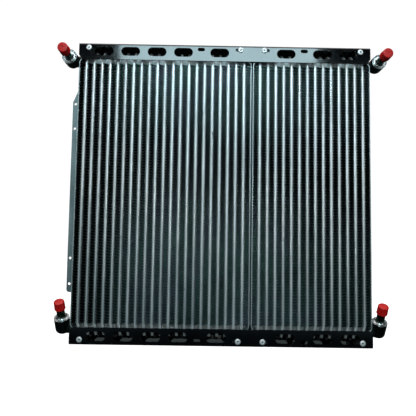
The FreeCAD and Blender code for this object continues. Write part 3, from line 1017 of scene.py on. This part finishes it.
    def build_cap(self) -> None:
        """Soft cap: slightly tapered wall, rounded crown with a moulding mark, rolled rim."""
        inside = self.stub_end() + self.cap_gap
        crown = inside + self.cap_wall
        rim = crown - self.cap_length
        hole = self.stub_radius + 0.12 * MM
        radius = self.cap_radius
        round_off = 1.5 * MM
        taper = 0.35 * MM
        profile = [(0.0, inside), (hole, inside), (hole, rim + 0.5 * MM), (hole + 0.4 * MM, rim)]
        profile += [(radius - 0.45 * MM, rim), (radius, rim + 0.35 * MM), (radius, rim + 1.5 * MM),
                    (radius - 0.2 * MM, rim + 1.9 * MM)]
        profile += arc_points((radius - taper - round_off, crown - round_off), round_off, 0.0, 90.0, 7)
        profile += [(2.2 * MM, crown), (1.9 * MM, crown - 0.35 * MM), (0.9 * MM, crown - 0.35 * MM),
                    (0.7 * MM, crown - 0.1 * MM), (0.0, crown - 0.1 * MM)]
        bm = bmesh.new()
        turn_profile(bm, profile, 72)
        bmesh.ops.transform(bm, matrix=self.axis(), verts=bm.verts)
        piece = finish_piece(f"port_cap_{self.name}_moulded", bm, [self.palette.cap], 38.0)
        register(piece, f"cap_{self.name}", [f"port_cap_{self.name}"])

    def build(self) -> None:
        """Builds the whole port."""
        self.build_elbow()
        self.build_bead()
        self.build_stub()
        self.build_cap()


@dataclass
class HiddenParts:
    """Nodes whose solids are right as they are and only need their finish."""

    palette: Palette

    def build(self) -> None:
        """Assigns the finishes."""
        finishes = {
            "turbulators": self.palette.tube,
            "cup_blanks": self.palette.tube,
            # The saddle blocks inside the brackets take the black painted shade.
            "saddle_blocks": self.palette.recess_shade,
        }
        for node, material in finishes.items():
            mesh = NODES[node].data
            mesh.materials.clear()
            mesh.materials.append(material)
            LOG.info("%s dressed in %s", node, material.name)


# ---------------------------------------------------------------- studio

@dataclass(frozen=True)
class SoftBox:
    """A rectangular studio light: where it stands, what it faces, its size and its power."""

    name: str
    place: tuple[float, float, float]
    target: tuple[float, float, float]
    size: tuple[float, float]
    power: float
    colour: Colour = (1.0, 1.0, 1.0)

    def build(self) -> None:
        """Adds the light to the scene."""
        data = bpy.data.lights.new(self.name, "AREA")
        data.shape = "RECTANGLE"
        data.size, data.size_y = self.size
        data.energy = self.power
        data.color = self.colour
        light = bpy.data.objects.new(self.name, data)
        light.location = self.place
        way = Vector(self.target) - Vector(self.place)
        light.rotation_euler = way.to_track_quat("-Z", "Y").to_euler()
        bpy.context.scene.collection.objects.link(light)


@dataclass
class Studio:
    """White lit floor in a dim room, soft boxes and the camera."""

    palette: Palette
    focal: float = 37.742
    place: tuple[float, float, float] = (-0.0261, -0.6725, 0.1585)
    yaw: float = 0.0061
    pitch: float = 0.0668
    roll: float = 0.0157
    front_start: float = -0.35
    front_full: float = -0.85
    side_level: float = 0.2
    room_tones: tuple[tuple[float, Colour], ...] = (
        (-90.0, (0.02, 0.03, 0.03)), (-40.0, (0.05, 0.075, 0.08)), (-12.0, (0.003, 0.005, 0.006)),
        (-10.0, (0.20, 0.30, 0.33)), (0.0, (0.38, 0.49, 0.50)), (10.0, (0.47, 0.57, 0.58)),
        (17.5, (0.45, 0.55, 0.57)), (20.5, (0.25, 0.31, 0.33)), (22.0, (0.012, 0.016, 0.018)),
        (27.0, (0.012, 0.016, 0.018)), (38.0, (0.20, 0.22, 0.23)), (90.0, (0.30, 0.33, 0.34)),
    )
    boxes: tuple[SoftBox, ...] = (
        SoftBox("key_front_top", (0.029, -1.5, 1.07), (0.029, 0.0, 0.44), (0.985, 0.18), 8.0,
                (0.66, 0.92, 1.0)),
        SoftBox("front_flash", (0.06, -0.95, 0.27), (0.0, 0.0, 0.2), (0.10, 0.10), 0.35, (0.93, 1.0, 0.99)),
        SoftBox("overhead", (0.0, -0.15, 1.7), (0.0, 0.0, 0.2), (1.6, 1.3), 17.0),
        SoftBox("fill_left", (-1.6, -1.3, 0.8), (0.0, 0.0, 0.25), (0.5, 1.2), 2.5),
        SoftBox("fill_right", (1.6, -1.3, 0.8), (0.0, 0.0, 0.25), (0.5, 1.2), 2.5),
    )

    def build_floor(self) -> None:
        """Wide pale floor, a hair under the cooler."""
        bm = bmesh.new()
        bmesh.ops.create_grid(bm, x_segments=4, y_segments=4, size=6.0)
        bmesh.ops.translate(bm, vec=(0.0, 0.0, -0.0002), verts=bm.verts)
        floor = finish_piece("studio_floor", bm, [self.palette.stage], 60.0)
        floor.visible_diffuse = False
        floor.visible_glossy = False

    def build_room(self) -> None:
        """White surround behind everything, dim room in the reflections, lighter towards the ceiling."""
        world = bpy.data.worlds.new("studio_room")
        world.use_nodes = True
        tree = world.node_tree
        room = tree.nodes["Background"]
        coordinates = tree.nodes.new("ShaderNodeTexCoord")
        split = tree.nodes.new("ShaderNodeSeparateXYZ")
        rise = tree.nodes.new("ShaderNodeMapRange")
        rise.inputs["From Min"].default_value = -1.0
        ramp = tree.nodes.new("ShaderNodeValToRGB")
        elements = ramp.color_ramp.elements
        while len(elements) < len(self.room_tones):
            elements.new(0.5)
        for element, (degrees, colour) in zip(elements, self.room_tones):
            element.position = 0.5 + 0.5 * math.sin(math.radians(degrees))
            element.color = (*colour, 1.0)
        front = tree.nodes.new("ShaderNodeMapRange")
        front.interpolation_type = "SMOOTHSTEP"
        front.inputs["From Min"].default_value = self.front_start
        front.inputs["From Max"].default_value = self.front_full
        front.inputs["To Min"].default_value = self.side_level
        front.inputs["To Max"].default_value = 1.0
        tree.links.new(split.outputs["Y"], front.inputs["Value"])
        tree.links.new(front.outputs["Result"], room.inputs["Strength"])
        white = tree.nodes.new("ShaderNodeBackground")
        white.inputs["Color"].default_value = (1.0, 1.0, 1.0, 1.0)
        white.inputs["Strength"].default_value = 1.05
        path = tree.nodes.new("ShaderNodeLightPath")
        mix = tree.nodes.new("ShaderNodeMixShader")
        tree.links.new(coordinates.outputs["Generated"], split.inputs["Vector"])
        tree.links.new(split.outputs["Z"], rise.inputs["Value"])
        tree.links.new(rise.outputs["Result"], ramp.inputs["Fac"])
        tree.links.new(ramp.outputs["Color"], room.inputs["Color"])
        tree.links.new(path.outputs["Is Camera Ray"], mix.inputs["Fac"])
        tree.links.new(room.outputs["Background"], mix.inputs[1])
        tree.links.new(white.outputs["Background"], mix.inputs[2])
        tree.links.new(mix.outputs["Shader"], tree.nodes["World Output"].inputs["Surface"])
        bpy.context.scene.world = world

    def build_camera(self) -> None:
        """Camera in front, a little under the middle, looking slightly up."""
        forward = Vector((math.sin(self.yaw) * math.cos(self.pitch),
                          math.cos(self.yaw) * math.cos(self.pitch), math.sin(self.pitch)))
        right = Vector((math.cos(self.yaw), -math.sin(self.yaw), 0.0))
        up = right.cross(forward)
        tilted_right = right * math.cos(self.roll) + up * math.sin(self.roll)
        tilted_up = up * math.cos(self.roll) - right * math.sin(self.roll)
        turn = Matrix((tilted_right, tilted_up, -forward)).transposed().to_4x4()
        data = bpy.data.cameras.new("front_camera")
        data.lens = self.focal
        data.sensor_width = 36.0
        camera = bpy.data.objects.new("front_camera", data)
        camera.matrix_world = Matrix.Translation(self.place) @ turn
        bpy.context.scene.collection.objects.link(camera)
        bpy.context.scene.camera = camera

    def build(self) -> None:
        """Builds the studio."""
        self.build_floor()
        self.build_room()
        for soft_box in self.boxes:
            soft_box.build()
        self.build_camera()
        bpy.context.scene.view_settings.view_transform = "Standard"


def main() -> None:
    """Builds the cooler's looks and the studio."""
    logging.basicConfig(level=logging.INFO, format="%(name)s: %(message)s")
    palette = Palette()
    TubeBank(palette).build()
    FinBank(palette).build()
    SheetParts(palette).build()
    RivetSet(palette).build()
    for end in End:
        for side in (LEFT, RIGHT):
            Port(palette, end, side).build()
    HiddenParts(palette).build()
    Studio(palette).build()


if __name__ == "__main__":
    main()
